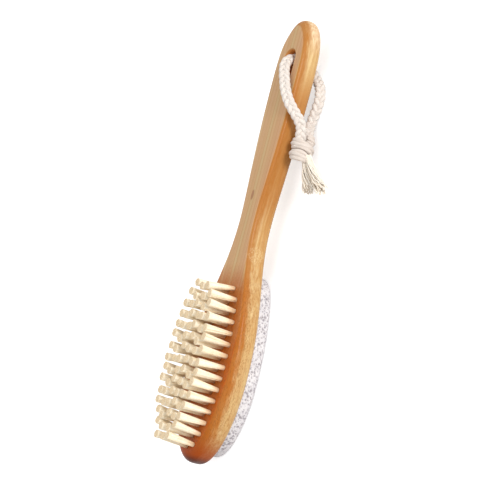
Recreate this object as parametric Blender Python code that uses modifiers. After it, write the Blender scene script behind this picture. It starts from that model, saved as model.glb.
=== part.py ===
"""A two-sided foot brush: a bamboo body with tufts of bristle on one face of its head,
a pumice stone let into the other face, and a knotted cotton loop through its handle.

Metres, +Z up. The brush lies on the flat face of its pumice, tufts up, with the handle
along +X. The origin is on that face, under the middle of the brush.
"""

import math
import random

import bmesh
import bpy
from mathutils import Matrix, Vector
from mathutils.geometry import interpolate_bezier

# Gap between pieces that touch
CLEARANCE = 0.0003

# Bamboo body
BODY_LENGTH = 0.255
BODY_THICKNESS = 0.013
HEAD_WIDTH = 0.0496
NECK_WIDTH = 0.0172
GRIP_WIDTH = 0.0262
HEAD_WIDEST_FROM_TIP = 0.048
NECK_FROM_TIP = 0.137
GRIP_WIDEST_FROM_END = 0.035
FRONT_EDGE_RADIUS = 0.002
BACK_EDGE_RADIUS = 0.004

# The front edge is rounder at the head's tip, and both edges are at the handle's end
FRONT_TIP_RADIUS = 0.006
END_EDGE_RADIUS = 0.006
TIP_EASING_LENGTH = 0.096
END_EASING_LENGTH = 0.020

# How far the body's outline keeps to its direction at each knot, as a share of the head's
# width at the tip, of the handle's at its end, and of the way to the next knot between them
TIP_REACH = 0.27
HEAD_REACH = (0.54, 0.50)
NECK_REACH = (0.37, 0.18)
GRIP_REACH = (0.53, 0.70)
END_REACH = 0.31

# Slot for the cord, at the end of the handle
SLOT_LENGTH = 0.020
SLOT_WIDTH = 0.010
SLOT_FROM_END = 0.019
SLOT_EDGE_RADIUS = 0.0015

# Pumice stone and the pocket that holds it
PUMICE_FROM_TIP = 0.006
PUMICE_LENGTH = 0.102
PUMICE_INSET = 0.003
PUMICE_PROUD = 0.008
PUMICE_EDGE_RADIUS = 0.0025
POCKET_DEPTH = 0.004
ADHESIVE_THICKNESS = 0.0006

# The same for the pumice's outline, whose shoulder comes a share of its length before its end
PUMICE_TIP_REACH = 0.54
PUMICE_WIDEST_REACH = (0.58, 0.36)
PUMICE_SHOULDER_REACH = (0.30, 0.45)
PUMICE_END_REACH = 0.62
PUMICE_SHOULDER_SHARE = 0.20

# Field of bristle tufts
TUFT_LENGTH = 0.0177
TUFT_ROOT_RADIUS = 0.00112
TUFT_TIP_RADIUS = 0.0018
TUFT_STRANDS = 6
STRAND_RADIUS = 0.0005
STRAND_SIDES = 3
SHORTEST_STRAND_SHARE = 0.96
FIRST_ROW_FROM_TIP = 0.0088
ROW_PITCH = 0.00625
ROW_COUNT = 15
ROW_STAGGER = 0.0008
FIELD_MARGIN = 0.0078
FIELD_END_ROUND = 0.012
TUFT_SPACING = 0.0054
MOST_TUFTS_IN_ROW = 6
SLICE_WIDTH = 0.0036
SLICE_THICKNESS = 0.0012

# Cotton cord
CORD_DIAMETER = 0.0055
TAIL_START_DIAMETER = 0.005
TAIL_END_DIAMETER = 0.0075
TAIL_SPACING = 0.004
KNOT_LENGTH = 0.0124
KNOT_DIAMETER = 0.0156
KNOT_END_DIAMETER = 0.0116

# The knot's side, as shares of the way from its end radius to its widest and of half its length
KNOT_SIDE = [(0, 1), (0.55, 0.86), (1, 0.42), (0.88, 0), (1, -0.42), (0.55, -0.86), (0, -1)]

# Fineness of the faces
OUTLINE_STEPS = 12
EDGE_STEPS = 5
ARC_STEPS = 12
CORD_SIDE_STEPS = 3
PATH_STEPS = 24
WELD_DISTANCE = 0.00001
FLAT_ANGLE = math.radians(0.1)
SHARP_ANGLE = math.radians(35)

TIP_X = -BODY_LENGTH / 2
END_X = BODY_LENGTH / 2
BACK_Z = PUMICE_PROUD
FRONT_Z = PUMICE_PROUD + BODY_THICKNESS
SLOT_END_X = END_X - SLOT_FROM_END
SLOT_CENTRE_X = SLOT_END_X - SLOT_LENGTH / 2
QUARTER_TURN = math.pi / 2

# The cord's way from the knot over the handle, down through the slot and back under the
# handle to the knot. A limp cord's way follows no rule, so its points are chosen by hand.
CORD_ROUTE = [
    (0.0611, -0.0189, 0.0110),
    (0.0646, -0.0195, 0.0130),
    (0.0680, -0.0193, 0.0163),
    (0.0718, -0.0176, 0.0200),
    (0.0767, -0.0145, 0.0229),
    (0.0829, -0.0106, 0.0243),
    (0.0889, -0.0074, 0.0247),
    (0.0951, -0.0045, 0.0248),
    (0.0999, -0.0019, 0.0233),
    (0.1034, 0.0000, 0.0193),
    (0.1047, 0.0006, 0.01385),
    (0.1034, 0.0000, 0.0084),
    (0.0999, -0.0019, 0.0044),
    (0.0957, -0.0058, 0.0029),
    (0.0920, -0.0113, 0.0029),
    (0.0880, -0.0158, 0.0029),
    (0.0832, -0.0181, 0.0029),
    (0.0779, -0.0186, 0.0029),
    (0.0726, -0.0183, 0.0029),
    (0.0684, -0.0182, 0.0032),
    (0.0644, -0.0185, 0.0041),
    (0.0606, -0.0190, 0.0051),
]
KNOT_CENTRE = Vector((0.0534, -0.0200, 0.0081))
KNOT_HEADING = math.radians(188)
TAIL_ROUTES = {
    "cord_tail_1": [
        (0.0459, -0.0177, 0.0067),
        (0.0421, -0.0194, 0.0059),
        (0.0374, -0.0230, 0.0050),
        (0.0315, -0.0272, 0.0042),
    ],
    "cord_tail_2": [
        (0.0453, -0.0242, 0.0067),
        (0.0426, -0.0271, 0.0058),
        (0.0389, -0.0315, 0.0049),
        (0.0343, -0.0380, 0.0042),
    ],
}


def make_collection(name):
    collection = bpy.data.collections.new(name)
    bpy.context.scene.collection.children.link(collection)
    return collection


def make_material(name, color, roughness):
    material = bpy.data.materials.new(name)
    material.use_nodes = True
    shader = material.node_tree.nodes["Principled BSDF"]
    shader.inputs["Base Color"].default_value = (*color, 1.0)
    shader.inputs["Roughness"].default_value = roughness
    shader.inputs["Metallic"].default_value = 0.0
    return material


def place(obj, collection, material=None):
    collection.objects.link(obj)
    if material:
        obj.data.materials.append(material)
    return obj


def mark_as_cutter(obj):
    obj.hide_render = True
    obj.display_type = "WIRE"
    return obj


def as_mesh(curve_object, collection):
    """Replaces a curve object by a mesh object whose caps are welded to its walls."""
    depsgraph = bpy.context.evaluated_depsgraph_get()
    mesh = bpy.data.meshes.new_from_object(curve_object.evaluated_get(depsgraph))
    bm = bmesh.new()
    bm.from_mesh(mesh)
    bmesh.ops.remove_doubles(bm, verts=bm.verts, dist=WELD_DISTANCE)
    bmesh.ops.dissolve_limit(bm, angle_limit=FLAT_ANGLE, verts=bm.verts, edges=bm.edges)
    bm.to_mesh(mesh)
    bm.free()
    obj = bpy.data.objects.new(curve_object.name, mesh)
    obj.matrix_world = curve_object.matrix_world
    name = curve_object.name
    bpy.data.objects.remove(curve_object)
    obj.name = name
    collection.objects.link(obj)
    return obj


def cut(obj, cutter):
    boolean = obj.modifiers.new("cut_" + cutter.name, "BOOLEAN")
    boolean.operation = "DIFFERENCE"
    boolean.solver = "EXACT"
    boolean.object = cutter


def half_outline(knots):
    """Bezier knots of one side of an outline that is symmetric about the X axis.

    Each knot is its x, its half width, the angle of its tangent, and how far its handles
    reach before and after it. The result is a list of (handle, knot, handle).
    """
    sides = []
    for x, half, angle, before, after in knots:
        along = Vector((math.cos(angle), math.sin(angle), 0))
        knot = Vector((x, half, 0))
        sides.append((knot - along * before, knot, knot + along * after))
    return sides


def half_width(side, x):
    """Half width at x of the outline with that side."""
    for (_, start, leaving), (arriving, end, _) in zip(side, side[1:]):
        if start.x <= x <= end.x:
            points = interpolate_bezier(start, leaving, arriving, end, 4 * OUTLINE_STEPS)
            for a, b in zip(points, points[1:]):
                if a.x <= x <= b.x:
                    return a.y + (b.y - a.y) * (x - a.x) / max(b.x - a.x, WELD_DISTANCE)
    return 0.0


def add_closed_bezier(curve, side):
    """Adds the closed outline of that side and its mirror image."""
    mirror = Vector((1, -1, 1))
    knots = side + [
        (after * mirror, knot * mirror, before * mirror)
        for before, knot, after in reversed(side[1:-1])
    ]
    tip, end = side[0], side[-1]
    knots[0] = (tip[2] * mirror, tip[1], tip[2])
    knots[len(side) - 1] = (end[0], end[1], end[0] * mirror)
    spline = curve.splines.new("BEZIER")
    spline.bezier_points.add(len(knots) - 1)
    spline.use_cyclic_u = True
    for point, (before, knot, after) in zip(spline.bezier_points, knots):
        point.handle_left_type = point.handle_right_type = "FREE"
        point.handle_left, point.co, point.handle_right = before, knot, after


def add_closed_poly(curve, points):
    spline = curve.splines.new("POLY")
    spline.points.add(len(points) - 1)
    spline.use_cyclic_u = True
    for point, (x, y) in zip(spline.points, points):
        point.co = (x, y, 0, 1)


def stadium(centre_x, length, width):
    """Points round a slot with semicircular ends, along X."""
    reach = (length - width) / 2
    points = []
    for end_x, first_angle in ((centre_x + reach, -QUARTER_TURN), (centre_x - reach, QUARTER_TURN)):
        for step in range(ARC_STEPS + 1):
            angle = first_angle + math.pi * step / ARC_STEPS
            points.append(
                (end_x + width / 2 * math.cos(angle), width / 2 * math.sin(angle))
            )
    return points


def outline_points(side):
    """Points round the closed outline of that side and its mirror image, clockwise from above."""
    points = []
    for (_, start, leaving), (arriving, end, _) in zip(side, side[1:]):
        points += interpolate_bezier(start, leaving, arriving, end, OUTLINE_STEPS + 1)[:-1]
    points.append(side[-1][1])
    return points + [Vector((p.x, -p.y, 0)) for p in reversed(points[1:-1])]


def quarter_round():
    """A rounded edge from a face to its wall, as shares of its radius: (inset, depth)."""
    angles = [QUARTER_TURN * step / EDGE_STEPS for step in range(EDGE_STEPS + 1)]
    return [(1 - math.sin(angle), 1 - math.cos(angle)) for angle in angles]


def rounded_rings(outline, face_z, towards, radius_at):
    """Rings of a slab's rounded edge, from its face at face_z to its wall.

    Towards is 1 where the slab lies above that face and -1 where it lies below.
    """
    rings = []
    for inset, depth in quarter_round():
        ring = []
        for i, point in enumerate(outline):
            along = outline[(i + 1) % len(outline)] - outline[i - 1]
            inward = Vector((along.y, -along.x, 0)).normalized()
            radius = radius_at(point)
            at = point + inward * inset * radius
            ring.append((at.x, at.y, face_z + towards * depth * radius))
        rings.append(ring)
    return rings


def lofted(name, rings):
    """A closed mesh object through rings of as many points each."""
    bm = bmesh.new()
    rows = [[bm.verts.new(point) for point in ring] for ring in rings]
    for row, next_row in zip(rows, rows[1:]):
        for i in range(len(row)):
            j = (i + 1) % len(row)
            bm.faces.new((row[i], row[j], next_row[j], next_row[i]))
    bm.faces.new(rows[0])
    bm.faces.new(rows[-1])
    bmesh.ops.recalc_face_normals(bm, faces=bm.faces)
    mesh = bpy.data.meshes.new(name)
    bm.to_mesh(mesh)
    bm.free()
    return bpy.data.objects.new(name, mesh)


def flat_curve(name, low_z, high_z):
    """An empty flat curve object that fills whatever outline it is given, low_z to high_z."""
    curve = bpy.data.curves.new(name, "CURVE")
    curve.dimensions = "2D"
    curve.fill_mode = "BOTH"
    curve.extrude = (high_z - low_z) / 2
    curve.resolution_u = OUTLINE_STEPS
    obj = bpy.data.objects.new(name, curve)
    obj.location.z = (high_z + low_z) / 2
    return obj


def finish_flat_curve(obj, collection):
    bpy.context.scene.collection.objects.link(obj)
    bpy.context.view_layer.update()
    return as_mesh(obj, collection)


HEAD_TO_NECK = NECK_FROM_TIP - HEAD_WIDEST_FROM_TIP
NECK_TO_GRIP = BODY_LENGTH - GRIP_WIDEST_FROM_END - NECK_FROM_TIP

BODY_SIDE = half_outline([
    (TIP_X, 0, QUARTER_TURN, 0, TIP_REACH * HEAD_WIDTH),
    (
        TIP_X + HEAD_WIDEST_FROM_TIP,
        HEAD_WIDTH / 2,
        0,
        HEAD_REACH[0] * HEAD_WIDEST_FROM_TIP,
        HEAD_REACH[1] * HEAD_TO_NECK,
    ),
    (
        TIP_X + NECK_FROM_TIP,
        NECK_WIDTH / 2,
        0,
        NECK_REACH[0] * HEAD_TO_NECK,
        NECK_REACH[1] * NECK_TO_GRIP,
    ),
    (
        END_X - GRIP_WIDEST_FROM_END,
        GRIP_WIDTH / 2,
        0,
        GRIP_REACH[0] * NECK_TO_GRIP,
        GRIP_REACH[1] * GRIP_WIDEST_FROM_END,
    ),
    (END_X, 0, -QUARTER_TURN, END_REACH * GRIP_WIDTH, 0),
])


def pumice_side(grow=0.0):
    """One side of the pumice's outline, which follows the head, made larger by grow."""
    start_x = TIP_X + PUMICE_FROM_TIP
    end_x = start_x + PUMICE_LENGTH
    widest_x = TIP_X + HEAD_WIDEST_FROM_TIP
    shoulder_x = end_x - PUMICE_SHOULDER_SHARE * PUMICE_LENGTH
    before = half_width(BODY_SIDE, shoulder_x - PUMICE_INSET)
    beyond = half_width(BODY_SIDE, shoulder_x + PUMICE_INSET)
    widest = HEAD_WIDTH / 2 - PUMICE_INSET + grow
    shoulder = half_width(BODY_SIDE, shoulder_x) - PUMICE_INSET + grow
    return half_outline([
        (start_x - grow, 0, QUARTER_TURN, 0, PUMICE_TIP_REACH * widest),
        (
            widest_x,
            widest,
            0,
            PUMICE_WIDEST_REACH[0] * (widest_x - start_x),
            PUMICE_WIDEST_REACH[1] * (shoulder_x - widest_x),
        ),
        (
            shoulder_x,
            shoulder,
            math.atan2(beyond - before, 2 * PUMICE_INSET),
            PUMICE_SHOULDER_REACH[0] * (shoulder_x - widest_x),
            PUMICE_SHOULDER_REACH[1] * (end_x - shoulder_x),
        ),
        (end_x + grow, 0, -QUARTER_TURN, PUMICE_END_REACH * shoulder, 0),
    ])


def eased(share):
    """A share of the way, made level at its start and end."""
    share = min(1.0, max(0.0, share))
    return share**2 * (3 - 2 * share)


def near_end(point):
    return 1 - eased((END_X - point.x) / END_EASING_LENGTH)


def front_edge_radius(point):
    near_tip = 1 - eased((point.x - TIP_X) / TIP_EASING_LENGTH)
    return (
        FRONT_EDGE_RADIUS
        + near_tip * (FRONT_TIP_RADIUS - FRONT_EDGE_RADIUS)
        + near_end(point) * (END_EDGE_RADIUS - FRONT_EDGE_RADIUS)
    )


def back_edge_radius(point):
    return BACK_EDGE_RADIUS + near_end(point) * (END_EDGE_RADIUS - BACK_EDGE_RADIUS)


def make_body(collection, material):
    """The bamboo blank, rounded along both faces."""
    outline = outline_points(BODY_SIDE)
    back = rounded_rings(outline, BACK_Z, 1, back_edge_radius)
    front = rounded_rings(outline, FRONT_Z, -1, front_edge_radius)
    return place(lofted("wooden_body", back + front[::-1]), collection, material)


def cut_slot(body, cutters):
    """The slot through the handle. Its cutter flares at both faces, which rounds the rims."""
    levels = [(SLOT_EDGE_RADIUS, BACK_Z - SLOT_EDGE_RADIUS)]
    for inset, depth in quarter_round():
        levels.append((inset * SLOT_EDGE_RADIUS, BACK_Z + depth * SLOT_EDGE_RADIUS))
    levels += [(flare, FRONT_Z + BACK_Z - z) for flare, z in reversed(levels)]
    rings = []
    for flare, z in levels:
        ring = stadium(SLOT_CENTRE_X, SLOT_LENGTH + 2 * flare, SLOT_WIDTH + 2 * flare)
        rings.append([(x, y, z) for x, y in ring])
    cut(body, mark_as_cutter(place(lofted("cord_slot", rings), cutters)))


def cut_pocket(body, cutters):
    """The routed pocket in the head's back face."""
    pocket = flat_curve("pumice_pocket", BACK_Z - POCKET_DEPTH, BACK_Z + POCKET_DEPTH)
    add_closed_bezier(pocket.data, pumice_side(grow=CLEARANCE))
    cut(body, mark_as_cutter(finish_flat_curve(pocket, cutters)))


def make_pumice(collection, material):
    """The stone, rounded along its rubbing face, and seated on the adhesive."""
    top_z = BACK_Z + POCKET_DEPTH - 2 * CLEARANCE - ADHESIVE_THICKNESS
    outline = outline_points(pumice_side())
    rings = rounded_rings(outline, 0, 1, lambda point: PUMICE_EDGE_RADIUS)
    rings.append([(p.x, p.y, top_z) for p in outline])
    return place(lofted("pumice_stone", rings), collection, material)


def make_adhesive(collection, material):
    """The thin bed of glue between the stone and the floor of the pocket."""
    top_z = BACK_Z + POCKET_DEPTH - CLEARANCE
    blank = flat_curve("pumice_adhesive", top_z - ADHESIVE_THICKNESS, top_z)
    add_closed_bezier(blank.data, pumice_side(grow=-PUMICE_INSET / 2))
    adhesive = finish_flat_curve(blank, collection)
    adhesive.data.materials.append(material)
    return adhesive


def tuft_places(row):
    """Roots of a row's tufts, across the head. Every second one is set back towards the tip."""
    last_x = TIP_X + FIRST_ROW_FROM_TIP + ROW_PITCH * (ROW_COUNT - 1)
    field_end_x = last_x + ROW_PITCH / 2
    x = TIP_X + FIRST_ROW_FROM_TIP + ROW_PITCH * row
    into_end = max(0.0, x - (field_end_x - FIELD_END_ROUND)) / FIELD_END_ROUND
    half = (half_width(BODY_SIDE, x) - FIELD_MARGIN) * math.sqrt(1 - into_end**2)
    count = min(MOST_TUFTS_IN_ROW, max(2, int(2 * half / TUFT_SPACING) + 1))
    places = []
    for i in range(count):
        from_outside = min(i, count - 1 - i)
        shift = -ROW_STAGGER if from_outside % 2 else ROW_STAGGER
        places.append(Vector((x + shift, half * (2 * i / (count - 1) - 1), FRONT_Z)))
    return places


def band(places, half):
    """Outline of a band that runs through those places, half on either side of them."""
    first, last = places[0], places[-1]
    forward = [(p.x + half, p.y) for p in places]
    back = [(p.x - half, p.y) for p in reversed(places)]
    ends = half * math.sin(QUARTER_TURN / 2)
    return (
        [(first.x, first.y - half), (first.x + ends, first.y - ends)]
        + forward
        + [(last.x + ends, last.y + ends), (last.x, last.y + half)]
        + [(last.x - ends, last.y + ends)]
        + back
        + [(first.x - ends, first.y - ends)]
    )


def add_strand(bm, root, tip, turn):
    """One bristle, from below its root to its tip."""
    along = tip - root
    middle = (root + tip) / 2
    place_strand = (
        Matrix.Translation(middle)
        @ along.to_track_quat("Z", "Y").to_matrix().to_4x4()
        @ Matrix.Rotation(turn, 4, "Z")
    )
    bmesh.ops.create_cone(
        bm,
        cap_ends=True,
        cap_tris=False,
        segments=STRAND_SIDES,
        radius1=STRAND_RADIUS,
        radius2=STRAND_RADIUS,
        depth=along.length,
        matrix=place_strand,
    )


def make_bristle_row(row, collection, cutters, body, slice_material, bristle_material):
    """A row of tufts on the slice of the head that holds them, seated in a groove of its shape."""
    name = "bristle_row_%02d" % (row + 1)
    dice = random.Random(row)
    places = tuft_places(row)

    groove = flat_curve(
        "groove_%02d" % (row + 1),
        FRONT_Z - SLICE_THICKNESS - CLEARANCE,
        FRONT_Z + SLICE_THICKNESS,
    )
    add_closed_poly(groove.data, band(places, SLICE_WIDTH / 2 + CLEARANCE))
    cut(body, mark_as_cutter(finish_flat_curve(groove, cutters)))

    blank = flat_curve(name, FRONT_Z - SLICE_THICKNESS, FRONT_Z)
    add_closed_poly(blank.data, band(places, SLICE_WIDTH / 2))
    slice_of_head = finish_flat_curve(blank, collection)
    slice_of_head.data.materials.append(slice_material)
    slice_of_head.data.materials.append(bristle_material)

    mesh = bpy.data.meshes.new("strands_%02d" % (row + 1))
    bm = bmesh.new()
    sunk = Vector((0, 0, SLICE_THICKNESS / 2))
    for place_of_tuft in places:
        first_angle = dice.uniform(0, math.pi)
        for strand in range(TUFT_STRANDS):
            angle = first_angle + 2 * math.pi * strand / (TUFT_STRANDS - 1)
            out = Vector((math.cos(angle), math.sin(angle), 0))
            if strand == TUFT_STRANDS - 1:
                out = Vector((0, 0, 0))
            height = TUFT_LENGTH * dice.uniform(SHORTEST_STRAND_SHARE, 1)
            root = place_of_tuft + out * TUFT_ROOT_RADIUS - sunk
            tip = place_of_tuft + out * TUFT_TIP_RADIUS + Vector((0, 0, height))
            add_strand(bm, root, tip, angle)
    bm.to_mesh(mesh)
    bm.free()
    strands = bpy.data.objects.new(mesh.name, mesh)
    strands.data.materials.append(bristle_material)
    cutters.objects.link(mark_as_cutter(strands))

    union = slice_of_head.modifiers.new("set_tufts", "BOOLEAN")
    union.operation = "UNION"
    union.solver = "EXACT"
    union.material_mode = "TRANSFER"
    union.object = strands
    return slice_of_head


def smooth_path(points, spacing):
    """Points every spacing along a smooth curve through those points."""
    route = [Vector(p) for p in points]
    before = [route[0] * 2 - route[1]] + route
    after = route[1:] + [route[-1] * 2 - route[-2]]
    slopes = [(b - a) / 2 for a, b in zip(before, after)]
    fine = []
    for i in range(len(route) - 1):
        fine += interpolate_bezier(
            route[i],
            route[i] + slopes[i] / 3,
            route[i + 1] - slopes[i + 1] / 3,
            route[i + 1],
            PATH_STEPS,
        )[:-1]
    fine.append(route[-1])
    length = sum((b - a).length for a, b in zip(fine, fine[1:]))
    steps = max(1, round(length / spacing))
    path, travelled, wanted = [fine[0]], 0.0, 1
    for a, b in zip(fine, fine[1:]):
        run = (b - a).length
        while wanted < steps and travelled + run >= wanted * length / steps:
            path.append(a.lerp(b, (wanted * length / steps - travelled) / run))
            wanted += 1
        travelled += run
    return path + [fine[-1]]


def make_tube(name, points, start_diameter, end_diameter, spacing, collection, material):
    curve = bpy.data.curves.new(name, "CURVE")
    curve.dimensions = "3D"
    curve.bevel_depth = start_diameter / 2
    curve.bevel_resolution = CORD_SIDE_STEPS
    curve.use_fill_caps = True
    path = smooth_path(points, spacing)
    spline = curve.splines.new("POLY")
    spline.points.add(len(path) - 1)
    growth = end_diameter / start_diameter - 1
    for i, (point, at) in enumerate(zip(spline.points, path)):
        point.co = (*at, 1)
        point.radius = 1 + growth * i / (len(path) - 1)
    obj = bpy.data.objects.new(name, curve)
    return place(obj, collection, material)


def make_knot(collection, material):
    """The overhand knot, as a turned shape with the swell of its two wraps."""
    end = KNOT_END_DIAMETER / 2
    swell = KNOT_DIAMETER / 2 - end
    side = [(end + out * swell, along * KNOT_LENGTH / 2) for out, along in KNOT_SIDE]
    profile = [(0, side[0][1])] + side + [(0, side[-1][1])]
    mesh = bpy.data.meshes.new("cord_knot")
    edges = [(i, i + 1) for i in range(len(profile) - 1)]
    mesh.from_pydata([(radius, 0, z) for radius, z in profile], edges, [])
    knot = place(bpy.data.objects.new("cord_knot", mesh), collection, material)
    knot.location = KNOT_CENTRE
    knot.rotation_euler = (0, QUARTER_TURN, KNOT_HEADING)
    screw = knot.modifiers.new("turned", "SCREW")
    screw.steps = screw.render_steps = 2 * ARC_STEPS
    screw.use_merge_vertices = True
    screw.merge_threshold = WELD_DISTANCE
    return knot


def shade_round(obj):
    if obj.type == "MESH":
        obj.data.shade_smooth()
        obj.data.set_sharp_from_angle(angle=SHARP_ANGLE)


def main():
    for obj in list(bpy.data.objects):
        bpy.data.objects.remove(obj)

    brush = make_collection("foot_brush")
    cutters = make_collection("cutters")

    bamboo = make_material("lacquered_bamboo", (0.72, 0.42, 0.16), 0.38)
    bristle = make_material("plant_bristle", (0.93, 0.84, 0.62), 0.60)
    stone = make_material("pumice", (0.86, 0.84, 0.86), 0.95)
    glue = make_material("clear_adhesive", (0.80, 0.78, 0.70), 0.30)
    cotton = make_material("cotton_cord", (0.91, 0.87, 0.80), 0.90)

    body = make_body(brush, bamboo)
    cut_slot(body, cutters)
    cut_pocket(body, cutters)
    make_pumice(brush, stone)
    make_adhesive(brush, glue)
    for row in range(ROW_COUNT):
        make_bristle_row(row, brush, cutters, body, bamboo, bristle)

    # The loop, its knot and its tails turn about the middle of the slot's round end
    seat = bpy.data.objects.new("loop_swing", None)
    seat.location = (SLOT_END_X - SLOT_WIDTH / 2, 0, (FRONT_Z + BACK_Z) / 2)
    brush.objects.link(seat)
    bpy.context.view_layer.update()
    loop = make_tube(
        "cord_loop", CORD_ROUTE, CORD_DIAMETER, CORD_DIAMETER, CORD_DIAMETER, brush, cotton
    )
    hanging = [loop, make_knot(brush, cotton)]
    for name, route in TAIL_ROUTES.items():
        hanging.append(make_tube(
            name, route, TAIL_START_DIAMETER, TAIL_END_DIAMETER, TAIL_SPACING, brush, cotton
        ))
    for obj in hanging:
        obj.parent = seat
        obj.matrix_parent_inverse = seat.matrix_world.inverted()

    for obj in brush.objects:
        shade_round(obj)


main()
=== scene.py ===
"""The looks of a two-sided foot brush: a lacquered bamboo body, tufts of plant fibre on one
face of its head, a pumice stone in the other, and a knotted cotton loop through its handle.

Metres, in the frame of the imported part: the brush lies on its stone with its tufts up and
its handle along +X.
"""

import math

import bmesh
import bpy
from mathutils import Matrix, Vector
from mathutils.geometry import interpolate_bezier


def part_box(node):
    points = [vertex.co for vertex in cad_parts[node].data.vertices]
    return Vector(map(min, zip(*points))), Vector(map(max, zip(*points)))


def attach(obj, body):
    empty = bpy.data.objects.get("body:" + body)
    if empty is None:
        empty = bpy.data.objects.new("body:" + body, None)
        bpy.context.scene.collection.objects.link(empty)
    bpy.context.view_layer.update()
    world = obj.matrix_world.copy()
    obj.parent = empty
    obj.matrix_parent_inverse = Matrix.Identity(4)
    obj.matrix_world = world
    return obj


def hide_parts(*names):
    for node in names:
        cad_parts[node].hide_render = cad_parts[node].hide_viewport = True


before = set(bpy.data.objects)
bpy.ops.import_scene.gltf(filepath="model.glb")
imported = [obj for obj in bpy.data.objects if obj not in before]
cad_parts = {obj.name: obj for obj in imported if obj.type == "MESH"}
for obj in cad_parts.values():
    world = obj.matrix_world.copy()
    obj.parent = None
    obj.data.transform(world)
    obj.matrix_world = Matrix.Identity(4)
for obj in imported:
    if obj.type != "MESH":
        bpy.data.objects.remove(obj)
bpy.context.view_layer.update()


# Camera
# It stands on the near side of the brush, a little above it, and leans over so far that the
# handle points up in the picture.
CAMERA_ELEVATION = math.radians(30.2)
CAMERA_TURN = math.radians(8.4)
CAMERA_LEAN = math.radians(71)
CAMERA_DISTANCE = 0.910
CAMERA_AIM = Vector((-0.0046, 0.00355, 0.015))
SENSOR_WIDTH = 36.0
FOCAL_LENGTH = 119.9


def placed(name, data):
    """A new object of that data, in the scene."""
    made = bpy.data.objects.new(name, data)
    bpy.context.scene.collection.objects.link(made)
    return made


towards_camera = Vector((
    -math.sin(CAMERA_TURN) * math.cos(CAMERA_ELEVATION),
    -math.cos(CAMERA_TURN) * math.cos(CAMERA_ELEVATION),
    math.sin(CAMERA_ELEVATION),
))
level_right = Vector((math.cos(CAMERA_TURN), -math.sin(CAMERA_TURN), 0))
level_up = towards_camera.cross(level_right)
picture_right = level_right * math.cos(CAMERA_LEAN) - level_up * math.sin(CAMERA_LEAN)
picture_up = level_right * math.sin(CAMERA_LEAN) + level_up * math.cos(CAMERA_LEAN)

camera = placed("camera", bpy.data.cameras.new("camera"))
camera.data.sensor_width = SENSOR_WIDTH
camera.data.lens = FOCAL_LENGTH
turned = Matrix((picture_right, picture_up, towards_camera)).transposed().to_4x4()
camera.matrix_world = (
    Matrix.Translation(CAMERA_AIM + towards_camera * CAMERA_DISTANCE) @ turned
)
bpy.context.scene.camera = camera


# Cotton cord
# Three strands of cotton yarn, plaited flat. It runs from the knot over the handle, down
# through the slot and back under the handle to the knot.
PLAIT_PITCH = 0.0111
PLAIT_REACH = 0.00175
PLAIT_DEPTH = 0.00072
PLAIT_TURN = math.radians(78)
PLAIT_TURN_FROM = 0.36
PLAIT_TURN_TO = 0.56
STRAND_RADIUS = 0.00142
STRAND_PLIES = 6
STRAND_TAPER = 0.002
TAPERED_SHARE = 0.35
FIRST_SIDE = Vector((0.31, 0.42, 0.85))
PLY_SIDES = 4
PLY_RELIEF = 0.10
PLY_TWIST = 220.0
RING_SPACING = 0.0005
PATH_STEPS = 24
UV_PER_METRE = 1000

CORD_ROUTE = [
    (0.0559, -0.0195, 0.0119),
    (0.0606, -0.0189, 0.0126),
    (0.0643, -0.0195, 0.0139),
    (0.0679, -0.0193, 0.0166),
    (0.0718, -0.0176, 0.0200),
    (0.0767, -0.0145, 0.0229),
    (0.0829, -0.0106, 0.0243),
    (0.0889, -0.0074, 0.0247),
    (0.0951, -0.0045, 0.0248),
    (0.0999, -0.0019, 0.0233),
    (0.1034, 0.0000, 0.0193),
    (0.1047, 0.0006, 0.01385),
    (0.1034, 0.0000, 0.0084),
    (0.0999, -0.0019, 0.0044),
    (0.0957, -0.0058, 0.0029),
    (0.0920, -0.0100, 0.0029),
    (0.0880, -0.0122, 0.0029),
    (0.0836, -0.0132, 0.0029),
    (0.0783, -0.0126, 0.0029),
    (0.0730, -0.0120, 0.0032),
    (0.0686, -0.0124, 0.0038),
    (0.0645, -0.0140, 0.0047),
    (0.0603, -0.0166, 0.0056),
    (0.0566, -0.0182, 0.0062),
    (0.0535, -0.0192, 0.0066),
]

CORD_TONES = ((240, 234, 227), (230, 222, 213))
FIBRE_SHADE = (206, 193, 183)
COTTON_SHEEN = {"Sheen Weight": 0.25, "Sheen Roughness": 0.5}
COTTON_ROUGHNESS = (0.98, 0.86)

# A pattern's scale, or its scales along three axes, then its noise's low, high and detail
FIBRES = ((0.35, 22.0, 1.0), 0.25, 0.75, 4.0)
UNEVEN_YARN = (260.0, 0.3, 0.7)

# A relief's depth and strength
FIBRE_RELIEF = (0.00012, 0.7)


def srgb(red, green, blue):
    """A colour as it looks on a screen, 0 to 255, as the linear colour that a shader takes."""
    def linear(level):
        share = level / 255
        return share / 12.92 if share <= 0.04045 else ((share + 0.055) / 1.055) ** 2.4
    return (linear(red), linear(green), linear(blue), 1.0)


def node(tree, kind, inputs=None, **settings):
    """Adds a node. Its inputs are given by name or number, as values or other nodes' outputs."""
    made = tree.nodes.new(kind)
    for name, value in settings.items():
        setattr(made, name, value)
    for key, value in (inputs or {}).items():
        if isinstance(value, bpy.types.NodeSocket):
            tree.links.new(value, made.inputs[key])
        else:
            made.inputs[key].default_value = value
    return made


def math_node(tree, operation, a, b=0.0):
    return node(tree, "ShaderNodeMath", {0: a, 1: b}, operation=operation).outputs[0]


def times(tree, product, *factors):
    for factor in factors:
        product = math_node(tree, "MULTIPLY", product, factor)
    return product


def between(tree, value, low, high, to_low=0.0, to_high=1.0):
    """Eases from one number to another as a value passes from low to high."""
    return node(tree, "ShaderNodeMapRange", {
        "Value": value, "From Min": low, "From Max": high, "To Min": to_low, "To Max": to_high
    }, interpolation_type="SMOOTHSTEP").outputs[0]


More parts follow.
